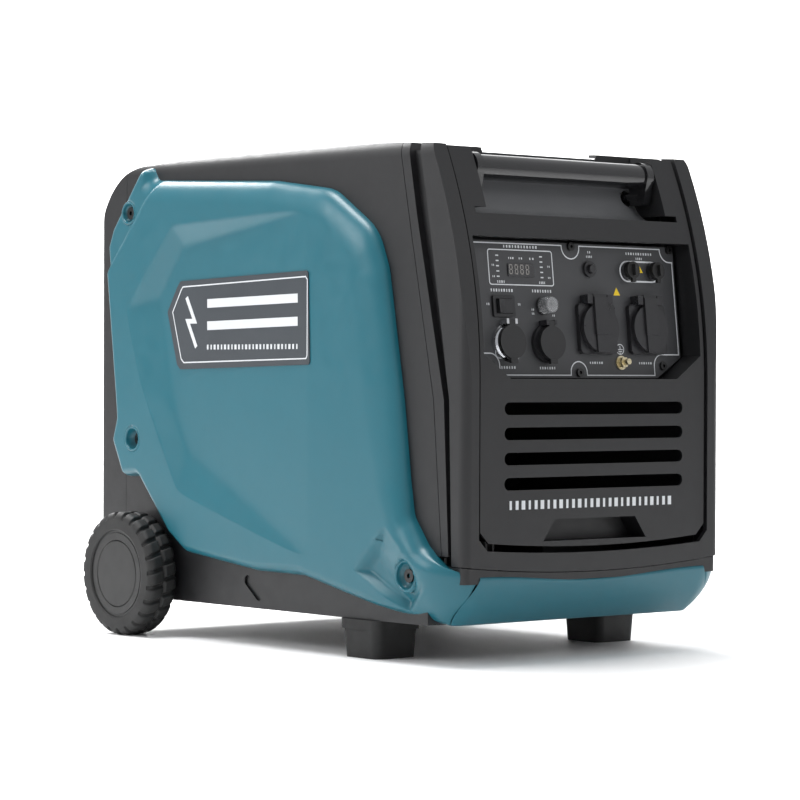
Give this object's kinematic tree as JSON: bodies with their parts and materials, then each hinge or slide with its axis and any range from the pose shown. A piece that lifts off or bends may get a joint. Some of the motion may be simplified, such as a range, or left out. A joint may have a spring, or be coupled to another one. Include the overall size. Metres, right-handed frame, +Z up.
{
  "type": "inverter generator",
  "caption": "Enclosed petrol inverter generator: black shell, teal side panels, tilted control panel under a pull-out handle, two rear wheels, two front feet.",
  "frame": {"origin": "on the floor under the middle of the bounding box", "axes": "+Z up, control panel facing -Y, exhaust at +Y, +X to the right of a person facing the control panel"},
  "size_m": [0.432, 0.6, 0.5055],
  "materials": {
    "black_shell": "fine spark texture, satin",
    "teal_panel": "satin moulded plastic, teal",
    "panel_grey": "satin dark grey with a printed border",
    "rubber": "moulded rubber",
    "tyre_rubber": "treaded rubber",
    "hub_plastic": "satin",
    "gloss_black": "glossy",
    "black_paint": "gloss powder coat",
    "zinc_steel": "zinc plated",
    "black_screw": "blackened",
    "chrome_trim": "polished",
    "brass_nut": "machined",
    "clear_boot": "clear soft plastic",
    "screen": "smoked window",
    "badge_grey": "dark plate with a light border",
    "engine_alloy": "cast",
    "forged_steel": "machined",
    "copper_stack": "varnished windings",
    "fan_alloy": "cast",
    "tank_plastic": "blow moulded"
  },
  "bodies": {
    "enclosure": {"base_tray": "black_shell", "front_bumper": "teal_panel", "front_hoop": "black_shell", "front_band": "black_shell", "front_fascia": "black_shell", "handle_well": "panel_grey", "left_shell": "black_shell", "right_shell": "black_shell", "left_side_panel": "teal_panel", "right_side_panel": "teal_panel", "top_cover": "black_shell", "rear_cover": "black_shell", "side_panel_screws": "black_screw", "side_badges": "badge_grey", "axle": "zinc_steel", "front_feet": "rubber", "handle_guides": "zinc_steel", "control_panel": "panel_grey", "display_window": "screen", "panel_screws": "black_screw", "outlets": "gloss_black", "link_socket": "chrome_trim", "dc_socket": "gloss_black", "rocker_frame": "gloss_black", "button_bezels": "gloss_black", "breaker_boot": "clear_boot", "parallel_sockets": "gloss_black", "earth_terminal": "brass_nut", "fuel_tank": "tank_plastic", "engine": "engine_alloy", "stator": "copper_stack", "recoil_housing": "black_paint", "muffler": "forged_steel", "air_filter": "tank_plastic", "inverter_module": "fan_alloy", "battery": "black_shell"},
    "left_wheel": {"left_tyre": "tyre_rubber", "left_hub": "hub_plastic", "left_hub_cover": "hub_plastic"},
    "right_wheel": {"right_tyre": "tyre_rubber", "right_hub": "hub_plastic", "right_hub_cover": "hub_plastic"},
    "pull_handle": {"handle_tube": "black_paint", "handle_rods": "black_paint"},
    "outlet_lid_left": {"outlet_lid_left": "gloss_black"},
    "outlet_lid_right": {"outlet_lid_right": "gloss_black"},
    "link_cap": {"link_cap": "black_shell"},
    "dc_cap": {"dc_cap": "black_shell"},
    "rocker": {"rocker": "gloss_black"},
    "breaker_button": {"breaker_button": "panel_grey"},
    "reset_button": {"reset_button": "gloss_black"},
    "parallel_cap_left": {"parallel_cap_left": "rubber"},
    "parallel_cap_right": {"parallel_cap_right": "rubber"},
    "fuel_cap": {"fuel_cap": "black_shell"},
    "vent_lever": {"vent_lever": "gloss_black"},
    "crank": {"crankshaft": "forged_steel", "flywheel": "fan_alloy"},
    "recoil_drum": {"recoil_drum": "hub_plastic"},
    "recoil_grip": {"recoil_grip": "rubber"},
    "engine_knob": {"engine_knob": "gloss_black"}
  },
  "joints": [
    {"name": "left_wheel_spin", "type": "hinge", "parent": "enclosure", "child": "left_wheel", "pos_m": [0, 0.207, 0.065], "axis": [1, 0, 0], "continuous": true},
    {"name": "right_wheel_spin", "type": "hinge", "parent": "enclosure", "child": "right_wheel", "pos_m": [0, 0.207, 0.065], "axis": [1, 0, 0], "continuous": true},
    {"name": "handle_slide", "type": "slide", "parent": "enclosure", "child": "pull_handle", "axis": [0, -1, 0], "range_m": [0, 0.33]},
    {"name": "outlet_lid_left_hinge", "type": "hinge", "parent": "enclosure", "child": "outlet_lid_left", "pos_m": [0.0255, -0.27382, 0.35333], "axis": [-1, 0, 0], "range_deg": [0, 95], "stiffness_Nm_per_rad": 0.02, "springref_deg": -34.38},
    {"name": "outlet_lid_right_hinge", "type": "hinge", "parent": "enclosure", "child": "outlet_lid_right", "pos_m": [0.095, -0.27382, 0.35333], "axis": [-1, 0, 0], "range_deg": [0, 95], "stiffness_Nm_per_rad": 0.02, "springref_deg": -34.38},
    {"name": "link_cap_hinge", "type": "hinge", "parent": "enclosure", "child": "link_cap", "pos_m": [-0.094, -0.27716, 0.32865], "axis": [-1, 0, 0], "range_deg": [0, 95], "stiffness_Nm_per_rad": 0.006, "springref_deg": -34.38},
    {"name": "dc_cap_hinge", "type": "hinge", "parent": "enclosure", "child": "dc_cap", "pos_m": [-0.042, -0.27721, 0.32815], "axis": [-1, 0, 0], "range_deg": [0, 95], "stiffness_Nm_per_rad": 0.006, "springref_deg": -34.38},
    {"name": "rocker_tip", "type": "hinge", "parent": "enclosure", "child": "rocker", "pos_m": [-0.095, -0.267, 0.34258], "axis": [0, 0.114, 0.9935], "range_deg": [-14, 0]},
    {"name": "breaker_press", "type": "slide", "parent": "enclosure", "child": "breaker_button", "axis": [0, 0.9935, -0.114], "range_m": [0, 0.003], "stiffness_N_per_m": 900, "springref_m": -0.001},
    {"name": "reset_press", "type": "slide", "parent": "enclosure", "child": "reset_button", "axis": [0, 0.9935, -0.114], "range_m": [0, 0.003], "stiffness_N_per_m": 900, "springref_m": -0.001},
    {"name": "parallel_cap_left_pull", "type": "slide", "parent": "enclosure", "child": "parallel_cap_left", "axis": [0, -0.9935, 0.114], "range_m": [0, 0.04]},
    {"name": "parallel_cap_right_pull", "type": "slide", "parent": "enclosure", "child": "parallel_cap_right", "axis": [0, -0.9935, 0.114], "range_m": [0, 0.04]},
    {"name": "fuel_cap_twist", "type": "hinge", "parent": "enclosure", "child": "fuel_cap", "pos_m": [0, -0.06, 0.49], "axis": [0, 0, 1], "range_deg": [0, 120]},
    {"name": "vent_lever_turn", "type": "hinge", "parent": "fuel_cap", "child": "vent_lever", "pos_m": [0, -0.06, 0.503], "axis": [0, 0, 1], "range_deg": [0, 90]},
    {"name": "crank_spin", "type": "hinge", "parent": "enclosure", "child": "crank", "pos_m": [0, 0.07, 0.165], "axis": [1, 0, 0], "continuous": true},
    {"name": "recoil_drum_spin", "type": "hinge", "parent": "enclosure", "child": "recoil_drum", "pos_m": [0, 0.07, 0.165], "axis": [1, 0, 0], "range_deg": [0, 573]},
    {"name": "recoil_pull", "type": "slide", "parent": "enclosure", "child": "recoil_grip", "axis": [1, 0, 0], "range_m": [0, 0.5], "stiffness_N_per_m": 3, "springref_m": -0.5},
    {"name": "engine_knob_turn", "type": "hinge", "parent": "enclosure", "child": "engine_knob", "pos_m": [0.1903, -0.165, 0.3], "axis": [1, 0, 0], "range_deg": [-60, 60]}
  ],
  "couplings": [
    {"joint": "recoil_drum_spin", "follows": "recoil_pull", "rad_per_m": 20}
  ]
}
